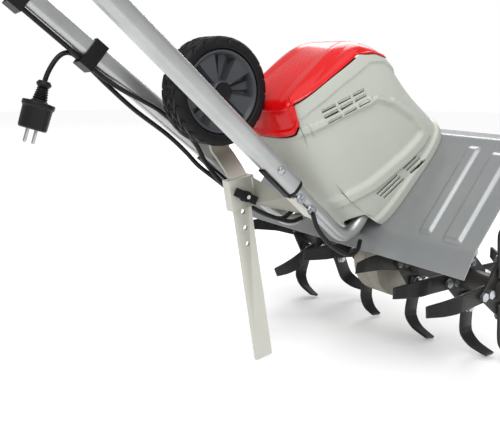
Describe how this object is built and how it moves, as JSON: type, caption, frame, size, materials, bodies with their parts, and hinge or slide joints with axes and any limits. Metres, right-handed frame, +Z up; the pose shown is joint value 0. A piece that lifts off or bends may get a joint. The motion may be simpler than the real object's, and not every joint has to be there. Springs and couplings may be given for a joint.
{
  "type": "electric garden tiller",
  "caption": "Walk-behind electric tiller: worm-driven rotor of bent tines under a sloping deck, hooded motor, folding handle, drag bar with transport wheel.",
  "frame": {"origin": "bottom centre of the whole machine without its supply cord, on the floor it stands on", "axes": "+X forward, the way it is pushed; +Y to the operator's left, along the tine axle; +Z up"},
  "size_m": [1.2786, 0.5304, 0.9142],
  "materials": {
    "deck_paint": "satin grey powder coat on sheet steel",
    "cast_alloy": "as cast, lightly oxidised",
    "zinc_steel": "zinc plated",
    "hood_plastic": "satin moulded, light grey",
    "red_gloss_plastic": "high gloss moulded",
    "black_steel": "black semi-gloss coat on forged steel",
    "bronze": "machined bronze",
    "black_plastic": "moulded, fine grain",
    "grey_paint": "satin light grey powder coat",
    "tyre_rubber": "matt",
    "grey_plastic": "satin moulded",
    "red_plastic": "moulded",
    "aluminium_tube": "satin drawn tube",
    "lead_rubber": "matt",
    "grip_rubber": "soft matt"
  },
  "bodies": {
    "frame": {"shield": "deck_paint", "motor_frame": "cast_alloy", "gear_case_left": "cast_alloy", "gear_case_right": "cast_alloy", "axle_bearing_left": "zinc_steel", "axle_bearing_right": "zinc_steel", "hood": "hood_plastic", "top_cover": "red_gloss_plastic", "lower_tube_left": "aluminium_tube", "lower_tube_right": "aluminium_tube", "tube_liner_left": "black_plastic", "tube_liner_right": "black_plastic", "middle_tube_left": "aluminium_tube", "middle_tube_right": "aluminium_tube", "frame_bolt_left": "zinc_steel", "frame_bolt_right": "zinc_steel", "tube_saddle_left": "black_plastic", "tube_saddle_right": "black_plastic", "cable_clip_1": "black_plastic", "cable_clip_2": "black_plastic", "fold_bolt_left": "zinc_steel", "fold_bolt_right": "zinc_steel", "fold_spacer_left": "black_plastic", "fold_spacer_right": "black_plastic", "sleeve_bracket": "grey_paint", "clamp_bolt": "zinc_steel", "motor_lead": "lead_rubber", "supply_lead": "lead_rubber", "lead_loop": "lead_rubber", "supply_cord": "lead_rubber", "supply_plug": "lead_rubber"},
    "rotor": {"tine_axle": "black_steel", "worm_wheel": "bronze", "tine_hub_left": "black_steel", "tine_hub_right": "black_steel", "tine_star_left_1": "black_steel", "tine_star_left_2": "black_steel", "tine_star_left_3": "black_steel", "tine_star_right_1": "black_steel", "tine_star_right_2": "black_steel", "tine_star_right_3": "black_steel"},
    "motor_shaft": {"motor_rotor": "zinc_steel", "cooling_fan": "black_plastic"},
    "drag_bar": {"drag_bar": "grey_paint", "wheel_axle": "zinc_steel"},
    "wheel": {"wheel_tyre": "tyre_rubber", "wheel_rim": "grey_plastic", "hub_cap": "black_plastic"},
    "wing_nut": {"wing_nut": "black_plastic"},
    "upper_handle": {"upper_tube_left": "aluminium_tube", "upper_tube_right": "aluminium_tube", "grip_left": "grip_rubber", "grip_right": "grip_rubber", "handle_crossbar": "aluminium_tube", "switch_box": "black_plastic", "handle_lead": "lead_rubber"},
    "fold_knob_left": {"fold_knob_left": "black_plastic"},
    "fold_knob_right": {"fold_knob_right": "black_plastic"},
    "switch_lever": {"switch_lever": "red_plastic"},
    "safety_button": {"safety_button": "red_plastic"}
  },
  "joints": [
    {"name": "rotor_spin", "type": "hinge", "parent": "frame", "child": "rotor", "pos_m": [0.51939, 0, 0.12017], "axis": [0, 1, 0], "continuous": true},
    {"name": "motor_spin", "type": "hinge", "parent": "frame", "child": "motor_shaft", "pos_m": [0.4542, 0, 0.25771], "axis": [-0.7593, 0, 0.6508], "continuous": true},
    {"name": "drag_bar_slide", "type": "slide", "parent": "frame", "child": "drag_bar", "axis": [-0.1642, 0, 0.9864], "range_m": [0, 0.05]},
    {"name": "wheel_spin", "type": "hinge", "parent": "drag_bar", "child": "wheel", "pos_m": [0.16186, 0, 0.4092], "axis": [0, 1, 0], "continuous": true},
    {"name": "wing_nut_turn", "type": "hinge", "parent": "frame", "child": "wing_nut", "pos_m": [0.20276, 0, 0.26091], "axis": [0, 1, 0], "continuous": true},
    {"name": "handle_fold", "type": "hinge", "parent": "frame", "child": "upper_handle", "pos_m": [-0.10956, 0, 0.57891], "axis": [0, 1, 0], "range_deg": [0, 145]},
    {"name": "fold_knob_left_turn", "type": "hinge", "parent": "frame", "child": "fold_knob_left", "pos_m": [-0.10956, 0.162, 0.57891], "axis": [0, 1, 0], "continuous": true},
    {"name": "fold_knob_right_turn", "type": "hinge", "parent": "frame", "child": "fold_knob_right", "pos_m": [-0.10956, -0.162, 0.57891], "axis": [0, 1, 0], "continuous": true},
    {"name": "switch_lever_squeeze", "type": "hinge", "parent": "upper_handle", "child": "switch_lever", "pos_m": [-0.44293, 0.17631, 0.82645], "axis": [0.0604, 0.9968, -0.0517], "range_deg": [0, 4.5], "stiffness_Nm_per_rad": 2, "springref_deg": -5.73},
    {"name": "safety_button_press", "type": "slide", "parent": "upper_handle", "child": "safety_button", "axis": [0.0604, 0.9968, -0.0517], "range_m": [0, 0.004], "stiffness_N_per_m": 400, "springref_m": -0.002}
  ],
  "couplings": [
    {"joint": "motor_spin", "follows": "rotor_spin", "ratio": 36}
  ]
}
